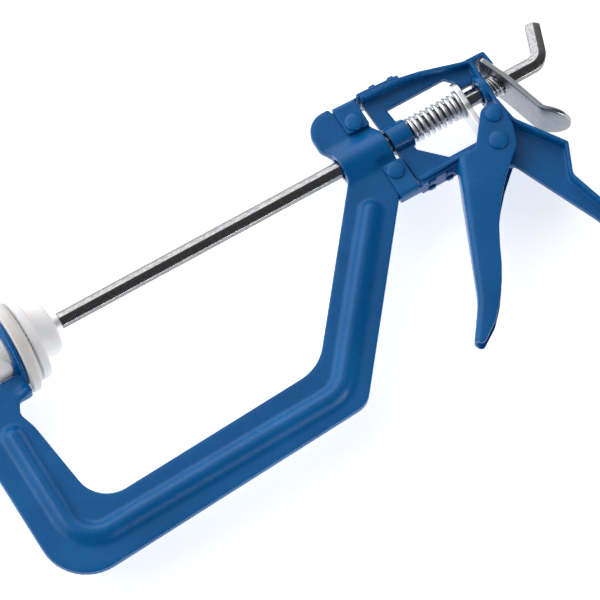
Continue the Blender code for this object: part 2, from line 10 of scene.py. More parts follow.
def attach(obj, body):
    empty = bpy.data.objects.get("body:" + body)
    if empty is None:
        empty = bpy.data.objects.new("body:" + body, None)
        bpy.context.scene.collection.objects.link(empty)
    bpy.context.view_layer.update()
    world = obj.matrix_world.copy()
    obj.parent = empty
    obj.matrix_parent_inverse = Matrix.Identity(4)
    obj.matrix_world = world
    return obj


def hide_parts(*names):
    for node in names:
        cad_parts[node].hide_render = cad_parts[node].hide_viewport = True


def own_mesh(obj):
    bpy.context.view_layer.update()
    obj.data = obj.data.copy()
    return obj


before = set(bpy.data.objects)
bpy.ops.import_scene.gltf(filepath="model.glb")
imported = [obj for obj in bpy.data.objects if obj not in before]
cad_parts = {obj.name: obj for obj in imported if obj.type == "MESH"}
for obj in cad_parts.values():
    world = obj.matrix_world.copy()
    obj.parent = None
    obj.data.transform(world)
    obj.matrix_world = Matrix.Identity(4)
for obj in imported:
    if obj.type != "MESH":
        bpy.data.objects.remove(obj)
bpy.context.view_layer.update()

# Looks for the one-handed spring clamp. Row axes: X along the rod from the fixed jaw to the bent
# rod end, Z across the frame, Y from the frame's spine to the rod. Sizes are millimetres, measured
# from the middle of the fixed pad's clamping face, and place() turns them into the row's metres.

MM = 0.001
REST_POINT = (40, -106.2, -6.5)    # the row's origin, seen from the middle of the fixed pad
SPLIT = 0.15                       # each pressed half starts this far from the middle plane
FRAME_TOP = 2.15                   # height of the frame's flats
BODY_TOP_FACE = 1.95               # height of the yoke's recessed panel
BODY_RIM = 8.0                     # height of the rim round that panel
BODY_WALL = 1.8                    # the rim's width
BOSS_RADIUS, BOSS_TOP = 5.3, 8.3   # the raised ring round the trigger's pivot
BORE, TUNNEL = 5.2, 7.3            # inside and outside radius of the rod's tunnel
RIB_RISE = 4.3
SEAT_RADIUS, SEAT_MIDDLE_X = 20.0, -8.1
SEAT_BORE = 5.6
HUB_BORE = 9.0                     # radius of the barrel that holds the fixed pad's hub
ROD_FLATS = 7.4
ROD_BEND_X, ROD_LEG, ROD_LEAN = 291.9, 19.9, 19.5
PIVOT, DRIVE_PIN = (250.1, -29.5), (255.1, -16.4)
UPPER_RIVET, LOWER_RIVET = (195.8, 16.4), (200.3, -15.6)
TAB_PLACES = (213.0, 223.0)        # where the shells' tabs come through the straps, along X
TAB_HALF = 1.7
STRAP_SHEET = 1.7
STRAP_FACE = 4.45                  # the outer face of a strap's folded tab, from the middle plane
FOLD_RADIUS = 1.9
PAD_TEETH, TOOTH_DEPTH = 54, 0.28
TRIGGER_OUTSIDE, TRIGGER_SHEET = 10.1, 1.5
TRIGGER_TAPER = 0.075              # how much a cheek comes in for each millimetre below TAPER_TOP
TAPER_TOP = -45
PLATE_X, PLATE_HALF = 246.0, 1.5   # the drive plate's front face and half its thickness
RELEASE_HALF = 1.2                 # half the release plate's thickness
RELEASE_WIDTH = 27.0

# Outlines are corners (x, y, radius).

FRAME_OUTLINE = [
    (-8.2, 18.5, 3), (-24, 20.5, 14), (-45, -2, 16), (-44.6, -124.3, 24),
    (126.7, -113.1, 12), (204.4, -16.4, 4), (204.4, 6.5, 2), (202.3, 11.5, 1.5),
    (202.3, 26.4, 1), (190, 26.4, 1), (189, 29.6, 1.4), (174.4, 29.6, 11),
    (174.4, 12.5, 5), (178.4, 7, 3), (178.4, -7.9, 4), (116.1, -85.1, 24),
    (-10.2, -92.4, 16.5), (-16.4, -42, 20), (-19.2, -33, 5), (-16.2, -27, 3), (-8.2, -26.3, 1.2),
]
RIB_PATH = [(-28, -42, 0), (-28, -107, 16), (119, -102, 18), (179.5, -27.5, 0)]
JAW_WINDOW = [
    (-21.5, -14.4, 1.5), (-21.5, 5.4, 1.5), (-10.1, 5.4, 1), (-9.8, -9.5, 4), (-12, -14.4, 1.5),
]
BODY_TOP = [
    (204.6, 25.9, 0), (226, 24.6, 10), (236, 22.6, 15), (257, 16.2, 8),
    (268.8, 15.9, 1.2), (269.8, 8.2, 0),
]
BODY_POCKET = [(268.0, 8.0, 0.8), (267.2, 13.8, 0.8), (261.5, 13.8, 0.8)]
BODY_BACK = [
    (261.5, -8, 6), (263.3, -22.5, 8), (279.6, -46.4, 1.6), (272.7, -62.3, 5),
    (277.2, -78, 60), (287.5, -111, 40), (294.5, -129, 6), (280.5, -132, 6),
]
BODY_FRONT = [
    (278.3, -111, 40), (272.3, -87, 40), (251.6, -40, 5), (245.5, -41, 5),
    (239, -36.5, 5), (234.5, -27.7, 1), (207.7, -27.7, 1),
]
BODY_WINDOW = [
    (246, 15.2, 1), (249.4, 11.6, 1), (249.4, 6.4, 1), (257.4, 6.4, 0.6), (257.4, -7.2, 0.6),
    (259.2, -7.4, 0.6), (259.2, -21.8, 1), (227, -21.8, 1), (215.6, -10.5, 1),
    (215.3, -7.6, 0.6), (217, -7.4, 0.6), (217, 7.4, 0.6), (214.3, 7.6, 0.6), (213.6, 15.2, 1),
]
TRIGGER_FRONT = [(228.3, -27.6, 3), (199.5, -94.5, 40)]
TRIGGER_TOE, TRIGGER_TIP = (187.2, -111.5, 1), (190.2, -115.6, 2)
TRIGGER_BACK = [
    (201, -108.3, 14), (208.5, -100.2, 20), (214.2, -92.4, 25), (218.8, -84.6, 30),
    (223.2, -75.6, 40), (228.4, -66.2, 40), (234.8, -57.2, 40), (242.6, -48.4, 40),
    (250.2, -41.4, 20), (256.9, -35.6, 9), (260.9, -25, 12), (260.9, -10.9, 5.6),
    (251.3, -10.9, 4.5), (238.4, -27.4, 4),
]
RELEASE_PATH = [(264.2, 10.8, 0), (270.0, -3.1, 40), (276.9, -26.7, 6), (287.9, -35.8, 0)]


def place(point):
    """Millimetres from the fixed pad turned into metres from the row's origin."""
    return (Vector(point) - Vector(REST_POINT)) * MM


# ---------------------------------------------------------------- outlines and distances

def fillet(corners, closed=True, step=7.5):
    """Corners (x, y, radius) turned into the points of a run with round corners."""
    points = []
    for index, (x, y, radius) in enumerate(corners):
        here = Vector((x, y))
        is_end = not closed and index in (0, len(corners) - 1)
        if radius <= 0 or is_end:
            points.append(here)
            continue
        back = (Vector(corners[index - 1][:2]) - here).normalized()
        ahead = (Vector(corners[(index + 1) % len(corners)][:2]) - here).normalized()
        half = back.angle(ahead) / 2
        turn = math.pi - 2 * half
        if turn < math.radians(1):
            points.append(here)
            continue
        centre = here + (back + ahead).normalized() * radius / math.sin(half)
        start = here + back * radius / math.tan(half) - centre
        side = 1 if back.x * ahead.y - back.y * ahead.x < 0 else -1
        steps = max(2, round(math.degrees(turn) / step))
        for count in range(steps + 1):
            points.append(centre + Matrix.Rotation(side * turn * count / steps, 2) @ start)
    return np.array([tuple(point) for point in points])


def resample(points, longest, closed=True):
    """Long segments split so that none is longer than this."""
    made = []
    ends = np.roll(points, -1, 0) if closed else points[1:]
    for a, b in zip(points, ends):
        count = max(1, math.ceil(np.linalg.norm(b - a) / longest))
        made += [a + (b - a) * i / count for i in range(count)]
    if not closed:
        made.append(points[-1])
    return np.array(made)


def loop(corners, longest=1.6, step=7.5):
    return resample(fillet(corners, True, step), longest)


def run(corners, longest=1.6, step=7.5):
    return resample(fillet(corners, False, step), longest, False)


def circle(middle, radius, step=7.5, way=-1, stretch=1):
    """A ring of points, clockwise for a hole unless way is 1."""
    angles = np.radians(way * np.arange(0, 360, step))
    return np.column_stack([
        middle[0] + radius * stretch * np.cos(angles), middle[1] + radius * np.sin(angles),
    ])


def inset(points, gap, closed=True):
    """A run of points moved to its left by gap."""
    ways = np.roll(points, -1, 0) - points
    if not closed:
        ways[-1] = ways[-2]
    ways /= np.linalg.norm(ways, axis=1)[:, None]
    lefts = np.stack([-ways[:, 1], ways[:, 0]], 1)
    before = np.roll(lefts, 1, 0)
    if not closed:
        before[0] = lefts[0]
    mean = lefts + before
    mean /= np.linalg.norm(mean, axis=1)[:, None]
    return points + mean * gap / np.clip((mean * lefts).sum(1), 0.5, 1)[:, None]


def distance(places, points, closed=True):
    """Distance from each place to a run of points."""
    ends = np.roll(points, -1, 0) if closed else points[1:]
    best = np.full(len(places), 1e12)
    for a, b in zip(points, ends):
        way = b - a
        along = np.clip(((places - a) @ way) / (way @ way), 0, 1)
        off = places - a - along[:, None] * way
        best = np.minimum(best, (off * off).sum(1))
    return np.sqrt(best)


def inside(places, loops):
    """Which places lie in the outline and outside its holes."""
    odd = np.zeros(len(places), bool)
    x, y = places.T
    for points in loops:
        for (x0, y0), (x1, y1) in zip(points, np.roll(points, -1, 0)):
            if y0 != y1:
                crosses = ((y0 > y) != (y1 > y)) & (x < (x1 - x0) * (y - y0) / (y1 - y0) + x0)
                odd ^= crosses
    return odd


def drop(gap, radius):
    """How far a rounded edge of this radius lies below its face, at this gap from the edge."""
    share = 1 - np.clip(gap / radius, 0, 1)
    return radius * (1 - np.sqrt(np.clip(1 - share * share, 0, 1)))


def ease(value):
    """A soft step from 0 to 1."""
    value = np.clip(value, 0, 1)
    return value * value * (3 - 2 * value)


def smooth_max(a, b, width):
    """The larger of two heights, blended where they are within width of each other."""
    share = np.clip(0.5 + 0.5 * (b - a) / width, 0, 1)
    return a * (1 - share) + b * share + width * share * (1 - share)


def hexes(low, high, pitch):
    """A grid of evenly spaced points in staggered rows."""
    rows = np.arange(low[1], high[1], pitch * math.sqrt(0.75))
    return np.array([
        (x + (index % 2) * pitch / 2, y)
        for index, y in enumerate(rows) for x in np.arange(low[0], high[0], pitch)
    ])


# ---------------------------------------------------------------- mesh makers
# Each gives (vertices in mm as an array, faces as a list of index tuples).

# Rows of points along a rounded edge, as shares of its radius.
ROUND = [1 - math.cos(math.radians(angle)) for angle in (22.5, 45, 67.5, 90)]
PROFILE_STEP = 15              # degrees between the points of a turned piece's round corner


def sheet(loops, top, bottom, pitch, edge=0.5, fine=None, fine_pitch=0.9, rows=()):
    """A solid between two height functions of (places, gap to the edge) over an outline.

    loops are an outline, anticlockwise, and its holes, clockwise. fine(places) marks where the
    smaller pitch is used. rows are extra runs of points that the mesh's edges follow.
    """
    points, edges = [], []

    def add_run(run_points, closed):
        start = len(points)
        points.extend(map(tuple, run_points))
        count = len(run_points)
        edges.extend((start + i, start + (i + 1) % count) for i in range(count - (not closed)))

    for outline in loops:
        add_run(outline, True)
        for share in ROUND:
            points.extend(map(tuple, inset(outline, share * edge)))
    for row, closed in rows:
        add_run(row, closed)
    everything = np.vstack(loops)
    low, high = everything.min(0), everything.max(0)
    grids = [(hexes(low, high, pitch), pitch, False)]
    if fine is not None:
        grids.append((hexes(low, high, fine_pitch), fine_pitch, True))
    keep_off = [(outline, True) for outline in loops] + list(rows)
    for grid, size, is_fine in grids:
        if fine is not None:
            grid = grid[fine(grid) == is_fine]
        grid = grid[inside(grid, loops)]
        for line, closed in keep_off:
            reach = edge + size * 0.45 if any(line is o for o in loops) else size * 0.35
            grid = grid[distance(grid, line, closed) > reach]
        points.extend(map(tuple, grid))
    made = delaunay_2d_cdt([Vector(p) for p in points], edges, [], 0, 1e-5, False)
    places = np.array([tuple(v) for v in made[0]])
    triangles = np.array([f for f in made[2] if len(f) == 3])
    triangles = triangles[inside(places[triangles].mean(1), loops)]
    a, b, c = (places[triangles[:, i]] for i in range(3))
    turned = (b - a)[:, 0] * (c - a)[:, 1] - (b - a)[:, 1] * (c - a)[:, 0]
    triangles[turned < 0] = triangles[turned < 0][:, ::-1]
    used, triangles = np.unique(triangles, return_inverse=True)
    triangles = triangles.reshape(-1, 3)
    places = places[used]
    gap = np.min([distance(places, outline) for outline in loops], axis=0)
    tops, bottoms = top(places, gap), bottom(places, gap)
    count = len(places)
    verts = np.vstack([np.column_stack([places, tops]), np.column_stack([places, bottoms])])
    faces = [tuple(t) for t in triangles.tolist()]
    faces += [(i + count, k + count, j + count) for i, j, k in triangles.tolist()]
    sides = set()
    for i, j, k in triangles.tolist():
        sides |= {(i, j), (j, k), (k, i)}
    faces += [(i + count, j + count, j, i) for i, j in sorted(sides) if (j, i) not in sides]
    return verts, faces


def lathe(profile, steps, along="X", middle=(0, 0), closed=False, shape=None):
    """A turned piece. The profile is (height, radius, corner radius) along the axis."""
    points = fillet(profile, closed, PROFILE_STEP)
    rings = []
    for index in range(steps):
        angle = math.tau * index / steps
        height, radius = points[:, 0].copy(), points[:, 1]
        if shape:
            height = shape(height, radius, angle)
        rings.append(np.column_stack([
            height, radius * math.cos(angle), radius * math.sin(angle),
        ]))
    verts = np.array(rings).reshape(-1, 3)
    count = len(points)
    faces = []
    for i in range(steps):
        j = (i + 1) % steps
        for k in range(count if closed else count - 1):
            n = (k + 1) % count
            faces.append((i * count + k, i * count + n, j * count + n, j * count + k))
    if along == "Z":
        verts = verts[:, (1, 2, 0)] + (*middle, 0)
    return verts, faces


def loft(rings):
    """A skin over rings of the same number of points, with its two ends capped."""
    rings = np.array(rings)
    total, count = rings.shape[:2]
    faces = []
    for i in range(total - 1):
        here, ahead = i * count, (i + 1) * count
        for k in range(count):
            n = (k + 1) % count
            faces.append((here + k, here + n, ahead + n, ahead + k))
    faces += [tuple(range(count))[::-1], tuple(range((total - 1) * count, total * count))]
    return rings.reshape(-1, 3), faces


def joined(*made):
    """Several meshes as one."""
    verts, faces, start = [], [], 0
    for places, polygons in made:
        verts.append(places)
        faces += [tuple(i + start for i in polygon) for polygon in polygons]
        start += len(places)
    return np.vstack(verts), faces


def mirrored(made):
    """The same mesh on the other side of the middle plane."""
    verts, faces = made
    return verts * (1, 1, -1), [polygon[::-1] for polygon in faces]


def slab(loops, low, high, pitch, edge):
    """A flat plate between two heights, with rounded edges."""
    return sheet(loops, lambda p, g: high - drop(g, edge), lambda p, g: low + drop(g, edge),
                 pitch, edge=edge)


def rectangle(x0, y0, x1, y1, radius):
    """A rectangle's outline, anticlockwise, with round corners."""
    return loop([(x0, y0, radius), (x1, y0, radius), (x1, y1, radius), (x0, y1, radius)], 1.2, 15)


def block(low, high, radius=0.7, edge=0.4):
    """A small block with rounded corners and edges, standing along Z between two corners."""
    (x0, y0, z0), (x1, y1, z1) = low, high
    return slab([rectangle(x0, y0, x1, y1, radius)], z0, z1, 1.2, edge)


def piece(name, made, finish, body, nodes, sharp=38):
    """Make the shown object, hang it on its body and hide the CAD nodes it stands for."""
    verts, faces = made
    mesh = bpy.data.meshes.new(name)
    bm = bmesh.new()
    moved = (np.asarray(verts) - REST_POINT) * MM
    corners = [bm.verts.new(corner) for corner in moved.tolist()]
    for polygon in faces:
        if len(set(polygon)) == len(polygon):
            bm.faces.new([corners[i] for i in polygon])
    bmesh.ops.remove_doubles(bm, verts=bm.verts, dist=0.0005 * MM)
    bmesh.ops.dissolve_degenerate(bm, edges=bm.edges, dist=0.0005 * MM)
    bmesh.ops.recalc_face_normals(bm, faces=bm.faces)
    bm.to_mesh(mesh)
    bm.free()
    mesh.shade_smooth()
    mesh.set_sharp_from_angle(angle=math.radians(sharp))
    obj = bpy.data.objects.new(name, mesh)
    bpy.context.scene.collection.objects.link(obj)
    mesh.materials.append(finish)
    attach(obj, body)
    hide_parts(*nodes)
    return obj


# ---------------------------------------------------------------- finishes
# Patterns are laid on object coordinates in metres, so a noise scale of 1000 is about 1 mm.

def finish_base(name, **settings):
    """A Principled material with these sockets set: gives it, its nodes and the coordinates."""
    made = bpy.data.materials.new(name)
    made.use_nodes = True
    tree = made.node_tree
    shader = tree.nodes["Principled BSDF"]
    for socket, value in settings.items():
        shader.inputs[socket.replace("_", " ")].default_value = value
    spot = tree.nodes.new("ShaderNodeTexCoord").outputs["Object"]
    return made, tree, shader, spot


def noise(tree, spot, scale, detail=4, rough=0.5, stretch=None):
    if stretch:
        mapping = tree.nodes.new("ShaderNodeMapping")
        mapping.inputs["Scale"].default_value = stretch
        tree.links.new(spot, mapping.inputs["Vector"])
        spot = mapping.outputs["Vector"]
    node = tree.nodes.new("ShaderNodeTexNoise")
    node.inputs["Scale"].default_value = scale
    node.inputs["Detail"].default_value = detail
    node.inputs["Roughness"].default_value = rough
    tree.links.new(spot, node.inputs["Vector"])
    return node.outputs["Fac"]


def ramp(tree, value, socket, *stops):
    """Feed a socket from a pattern through stops of (place, colour), or (place, grey)."""
    node = tree.nodes.new("ShaderNodeValToRGB")
    while len(node.color_ramp.elements) < len(stops):
        node.color_ramp.elements.new(0.5)
    for element, (at, colour) in zip(node.color_ramp.elements, stops):
        element.position = at
        element.color = (*colour, 1) if isinstance(colour, tuple) else (colour, colour, colour, 1)
    tree.links.new(value, node.inputs["Fac"])
    tree.links.new(node.outputs["Color"], socket)


def bump(tree, shader, value, strength, depth_mm):
    node = tree.nodes.new("ShaderNodeBump")
    node.inputs["Strength"].default_value = strength
    node.inputs["Distance"].default_value = depth_mm * MM
    tree.links.new(value, node.inputs["Height"])
    tree.links.new(node.outputs["Normal"], shader.inputs["Normal"])


def powder_coat(name):
    made, tree, shader, spot = finish_base(
        name, Coat_Weight=0.06, Coat_Roughness=0.1, Specular_IOR_Level=0.22,
    )
    ramp(tree, noise(tree, spot, 38, 3), shader.inputs["Base Color"],
         (0.3, (0.0012, 0.098, 0.308)), (0.5, (0.0015, 0.110, 0.338)), (0.72, (0.003, 0.126, 0.372)))
    ramp(tree, noise(tree, spot, 420, 2), shader.inputs["Roughness"], (0.3, 0.24), (0.7, 0.33))
    bump(tree, shader, noise(tree, spot, 900, 2), 0.16, 0.05)
    return made


def zinc(name, dark, light, smooth, rough):
    made, tree, shader, spot = finish_base(name, Metallic=1.0)
    ramp(tree, noise(tree, spot, 110, 4), shader.inputs["Base Color"], (0.32, dark), (0.68, light))
    fine = noise(tree, spot, 500, 3)
    ramp(tree, fine, shader.inputs["Roughness"], (0.3, smooth), (0.7, rough))
    bump(tree, shader, fine, 0.12, 0.02)
    return made


def bright_rod(name):
    """Drawn steel whose mottling is drawn out along the rod."""
    made, tree, shader, spot = finish_base(name, Metallic=1.0, Specular_Tint=(0.55, 0.55, 0.57, 1))
    mottled = noise(tree, spot, 1100, 5, 0.65, stretch=(0.45, 1, 1))
    ramp(tree, mottled, shader.inputs["Base Color"],
         (0.36, (0.27, 0.27, 0.29)), (0.5, (0.37, 0.37, 0.38)), (0.64, (0.48, 0.48, 0.47)))
    ramp(tree, mottled, shader.inputs["Roughness"], (0.42, 0.30), (0.58, 0.08))
    bump(tree, shader, noise(tree, spot, 1400, 4, 0.6, stretch=(0.4, 1, 1)), 0.45, 0.03)
    return made


def steel(name):
    made, tree, shader, spot = finish_base(name, Metallic=1.0)
    value = noise(tree, spot, 600, 4)
    ramp(tree, value, shader.inputs["Base Color"], (0.3, 0.80), (0.7, 0.94))
    ramp(tree, value, shader.inputs["Roughness"], (0.3, 0.62), (0.7, 0.5))
    bump(tree, shader, value, 0.2, 0.03)
    return made


def nylon(name, dark, light):
    made, tree, shader, spot = finish_base(
        name, Subsurface_Weight=0.25, Subsurface_Scale=0.003, Specular_IOR_Level=0.4,
    )
    ramp(tree, noise(tree, spot, 60, 3), shader.inputs["Base Color"], (0.3, dark), (0.7, light))
    fine = noise(tree, spot, 500, 3)
    ramp(tree, fine, shader.inputs["Roughness"], (0.3, 0.38), (0.7, 0.5))
    bump(tree, shader, fine, 0.2, 0.05)
    return made


PAINT = powder_coat("blue powder coat")
ZINC = zinc("bright zinc", (0.78, 0.80, 0.84), (0.95, 0.94, 0.90), 0.36, 0.46)
WIRE = zinc("zinc spring wire", (0.80, 0.81, 0.84), (0.95, 0.95, 0.94), 0.34, 0.46)
# The release plate's zinc is the bright zinc made darker and bluer: painted shade and a painted reflection
# of the blue frame on its broad face.
SHADED_ZINC_SHEET = zinc("zinc sheet with painted shade and blue reflection", (0.31, 0.34, 0.39), (0.38, 0.39, 0.40), 0.26, 0.30)
ROD = bright_rod("bright drawn rod")
STEEL = steel("plain steel")
NYLON = nylon("white nylon", (0.89, 0.88, 0.91), (0.95, 0.945, 0.97))
DULL_NYLON = nylon("greyed nylon", (0.70, 0.69, 0.675), (0.80, 0.79, 0.78))


# ---------------------------------------------------------------- the pressed C-frame

RIB_LINE = run(RIB_PATH, 2.0)


def rib(places, rise, inner, outer):
    """The stiffening rib's height: full within inner of its line, none beyond outer."""
    share = np.clip((distance(places, RIB_LINE, False) - inner) / (outer - inner), 0, 1)
    return rise * (0.5 + 0.5 * np.cos(math.pi * share))


def arch(offset_y, radius):
    """The height of a half cylinder that lies along the rod."""
    return np.sqrt(np.clip(radius * radius - offset_y * offset_y, 0, None))


def jaw_flare(x):
    """How far the jaw's barrel has opened out towards the pad's seat, from 0 to 1."""
    return ease((x + 15.5) / 7)


def frame_top(places, gap):
    x, y = places.T
    z = FRAME_TOP + rib(places, RIB_RISE, 0.6, 7.2)
    swell = FRAME_TOP + (TUNNEL - FRAME_TOP) * (0.5 + 0.5 * np.cos(np.pi * np.clip(y / 12.5, -1, 1)))
    z = np.where(x > 165, smooth_max(z, swell, 0.6), z)
    barrel = arch(y, 9.6 + (x + 34) * 0.054 + 5 * jaw_flare(x)) * ease((x + 40) / 8)
    z = np.where(x < 0, smooth_max(z, barrel, 1.6), z)
    z += 2.4 * np.exp(-((x + 10.5) / 3.6) ** 2 - ((y + 24.3) / 2.4) ** 2)    # knob below the seat
    return z - drop(gap, 0.8)


def frame_bottom(places, gap):
    x, y = places.T
    z = SPLIT + rib(places, 2.5, 0.5, 5.2)
    hub = HUB_BORE + 4.5 * jaw_flare(x)
    bore = np.where(x > 170, BORE, np.where((x < -9.5) & (x > -31), hub, 0))
    bore = np.where((x >= -9.5) & (x < 0), SEAT_BORE, bore)
    return np.maximum(z, arch(y, bore))


def frame_fine(places):
    """Where the frame's surface is curved: the rib, the head and the jaw."""
    x, y = places.T
    near_rib = distance(places, RIB_LINE, False) < 8.6
    head = (x > 168) & (np.abs(y) < 14)
    jaw = (x < -4) & (y > -30) & (y < 14)
    return near_rib | head | jaw


def seat_disc():
    """Half of the disc behind the fixed pad, 2 mm thick."""
    angles = np.radians(np.linspace(0, 180, 61))
    outer = np.column_stack([SEAT_RADIUS * np.cos(angles), SPLIT + SEAT_RADIUS * np.sin(angles)])
    inner = np.column_stack([-SEAT_BORE * np.cos(angles), SPLIT + SEAT_BORE * np.sin(angles)])
    outline = resample(np.vstack([outer, inner]), 1.5)
    verts, faces = sheet(
        [outline], lambda p, g: 1 - drop(g, 0.6), lambda p, g: -1 + drop(g, 0.4), 2.2, edge=0.6,
    )
    verts = verts[:, (2, 0, 1)] + (SEAT_MIDDLE_X, 0, 0)
    return verts, faces


def frame_half():
    loops = [loop(FRAME_OUTLINE), loop(JAW_WINDOW)]
    return joined(
        sheet(loops, frame_top, frame_bottom, 3.0, edge=0.8, fine=frame_fine, fine_pitch=0.95),
        seat_disc(),
    )


half = frame_half()
for made, name in ((half, "front"), (mirrored(half), "rear")):
    piece(f"frame_{name}_pressing", made, PAINT, "frame", [f"frame_{name}_half"])


# ---------------------------------------------------------------- yoke and handle shells

def offset_corners(corners, gap):
    """An open run of corners moved to its left by gap, with its radii adjusted."""
    places = [Vector(corner[:2]) for corner in corners]
    ways = [(b - a).normalized() for a, b in zip(places, places[1:])]
    lefts = [Vector((-way.y, way.x)) for way in ways]
    moved = []
    for index, (x, y, radius) in enumerate(corners):
        before, after = lefts[max(index - 1, 0)], lefts[min(index, len(lefts) - 1)]
        mean = (before + after).normalized()
        place = Vector((x, y)) + mean * gap / mean.dot(after)
        bend = before.x * after.y - before.y * after.x
        radius = radius - gap if bend > 0 else radius + gap
        moved.append((place.x, place.y, max(radius, 0.3)))
    return moved


def recess_loop():
    """The edge of the panel inside the rim. It runs past the shell where there is no rim."""
    back = [(261.5, 13.8, 0), *BODY_BACK]
    inner_top = offset_corners(BODY_TOP[:4], -BODY_WALL)
    inner_back = offset_corners(back, -BODY_WALL)
    inner_top[0] = (200, inner_top[0][1], 0)
    inner_top[-1] = (inner_back[0][0], 13.8, 1)
    lower = [(251.6, -48, 0), (236.3, -38, 0), (236.3, -25.9, 0.5), (200, -25.9, 0)]
    corners = inner_top + inner_back[1:] + [(274, -132, 0), (266, -87, 0)] + lower
    return loop(corners[::-1], 2.0)


RECESS = recess_loop()
# Mesh rows at these distances inside the recess's edge keep its wall and its fillet clean.
RECESS_ROWS = (-0.5, -0.31, -0.15, -0.04, 0.0, 0.04, 0.12, 0.3, 0.6, 1.0)


def body_top(places, gap):
    x, y = places.T
    within = inside(places, [RECESS])
    depth = distance(places, RECESS) * np.where(within, 1, -1)
    panel = BODY_TOP_FACE + 1 - np.sqrt(1 - (1 - np.clip(depth, 0, 1)) ** 2)
    rim = BODY_RIM - drop(-depth, 0.5)
    z = np.where(depth > 0.02, panel, rim)
    z = np.maximum(z, np.where(x < 218, arch(y, TUNNEL), np.where(x > 257, arch(y, 8.7), 0)))
    beyond_boss = ease((np.hypot(x - PIVOT[0], y - PIVOT[1]) - BOSS_RADIUS) / 0.5)
    z = np.maximum(z, BOSS_TOP - (BOSS_TOP - BODY_TOP_FACE) * beyond_boss)
    return z - drop(gap, 0.5)


def body_bottom(places, gap):
    return np.maximum(SPLIT, arch(places[:, 1], BORE))


def body_fine(places):
    x, y = places.T
    return (np.abs(y) < 9) | (np.hypot(x - PIVOT[0], y - PIVOT[1]) < 8)


def body_shell():
    outline = (BODY_TOP + BODY_POCKET + BODY_BACK + BODY_FRONT)[::-1]
    window = loop(BODY_WINDOW, 0.9)
    rows = [(inset(RECESS, gap), True) for gap in RECESS_ROWS]
    rows += [(circle(PIVOT, BOSS_RADIUS + gap, 10, 1), True) for gap in (-0.1, 0.15, 0.35, 0.6)]
    made = [sheet(
        [loop(outline, 0.9), window], body_top, body_bottom, 2.6, edge=0.5, fine=body_fine,
        fine_pitch=0.9, rows=rows,
    )]
    for x, y_high in zip(TAB_PLACES, (29.0, 28.4)):
        made.append(tab_block(x, 24.6, y_high))
        made.append(tab_block(x, -30.4, -27.0))
    return joined(*made)


def tab_block(x, y_low, y_high):
    """The end of a shell's tab, where it comes through a strap."""
    verts, faces = block((2.1, x - TAB_HALF, y_low), (5.1, x + TAB_HALF, y_high))
    return verts[:, (1, 2, 0)], faces


half = body_shell()
for made, name in ((half, "front"), (mirrored(half), "rear")):
    piece(f"body_{name}_pressing", made, PAINT, "frame", [f"body_{name}_shell"])


# ---------------------------------------------------------------- straps and rivets

def strap_sheet(tab, band_end, half_width, tab_length, level, outward):
    """A band over the head and yoke with a tab folded down each side of the head.

    tab is the tab's (x0, x1). level(x) is the outer face's y. outward is +1 for the top band
    and -1 for the bottom one.
    """
    start, end = tab
    shoulder = end + 1.2
    outline = [
        (start, -tab_length, 1.5), (end, -tab_length, 1.5), (end, -3.6, 0.5), (shoulder, -3.6, 0.5),
        (shoulder, -half_width, 0.8), (band_end, -half_width, 1.0), (band_end, half_width, 1.0),
        (shoulder, half_width, 0.8), (shoulder, 3.6, 0.5), (end, 3.6, 0.5), (end, tab_length, 1.5),
        (start, tab_length, 1.5),
    ]
    slots = [rectangle(x - 2.0, y - 1.8, x + 2.0, y + 1.8, 0.6)[::-1]
             for x in TAB_PLACES for y in (-3.6, 3.6)]
    verts, faces = sheet(
        [loop(outline, 1.0), *slots], lambda p, g: -drop(g, 0.5), lambda p, g: -STRAP_SHEET + 0 * g,
        1.1, edge=0.5,
    )
    u, v, w = verts.T
    flat = STRAP_FACE - FOLD_RADIUS
    folded = u < end + 0.6
    reach = np.abs(v)
    angle = np.clip((reach - flat) / FOLD_RADIUS, 0, math.pi / 2)
    beyond = np.clip(reach - flat - FOLD_RADIUS * math.pi / 2, 0, None)
    bent = np.minimum(reach, flat) + (FOLD_RADIUS + w) * np.sin(angle)
    across = np.where(folded, bent, reach)
    fall = np.where(folded, FOLD_RADIUS - (FOLD_RADIUS + w) * np.cos(angle) + beyond, -w)
    y = level(u) - outward * fall
    verts = np.column_stack([u, y, np.sign(v) * across])
    return verts, faces if outward < 0 else [polygon[::-1] for polygon in faces]


def upper_level(x):
    return np.interp(x, (190.4, 200, 208, 226.5), (28.3, 27.95, 27.6, 26.5))


def lower_level(x):
    return -29.5 + 0 * x


piece("upper_strap_band", strap_sheet((190.4, 202.4), 226.5, 7.2, 19.9, upper_level, 1), PAINT,
      "frame", ["upper_strap"])
piece("lower_strap_band", strap_sheet((195.6, 206.3), 230.5, 5.9, 22.3, lower_level, -1), PAINT,
      "frame", ["lower_strap"])


def pin(middle, shank, head, face, dome):
    """A rivet along Z: shank and head radii, the height of the head's inner face, its dome."""
    rim = 0.35
    angles = [math.radians(a) for a in range(0, 91, 9)]
    rise = [(face + rim + (dome - rim) * math.cos(a) ** 0.85, head * math.sin(a), 0) for a in angles]
    rise += [(face + 0.1, head, 0), (face, head - 0.15, 0), (face, shank, 0)]
    lower = [(-height, radius, 0) for height, radius, _ in rise[::-1]]
    return lathe(rise + lower, 56, "Z", middle)


for name, middle in (("upper_head", UPPER_RIVET), ("lower_head", LOWER_RIVET)):
    piece(f"{name}_rivet_set", pin(middle, 2.6, 4.5, 4.75, 1.7), PAINT, "frame",
          [f"{name}_rivet"])
piece("trigger_pivot_rivet", pin(PIVOT, 3.0, 4.7, 10.4, 1.6), PAINT, "frame",
      ["trigger_pivot_pin"])
piece("drive_pin_rivet", pin(DRIVE_PIN, 2.5, 4.1, 10.4, 1.8), PAINT, "trigger",
      ["drive_pin"])


# ---------------------------------------------------------------- rod and pads

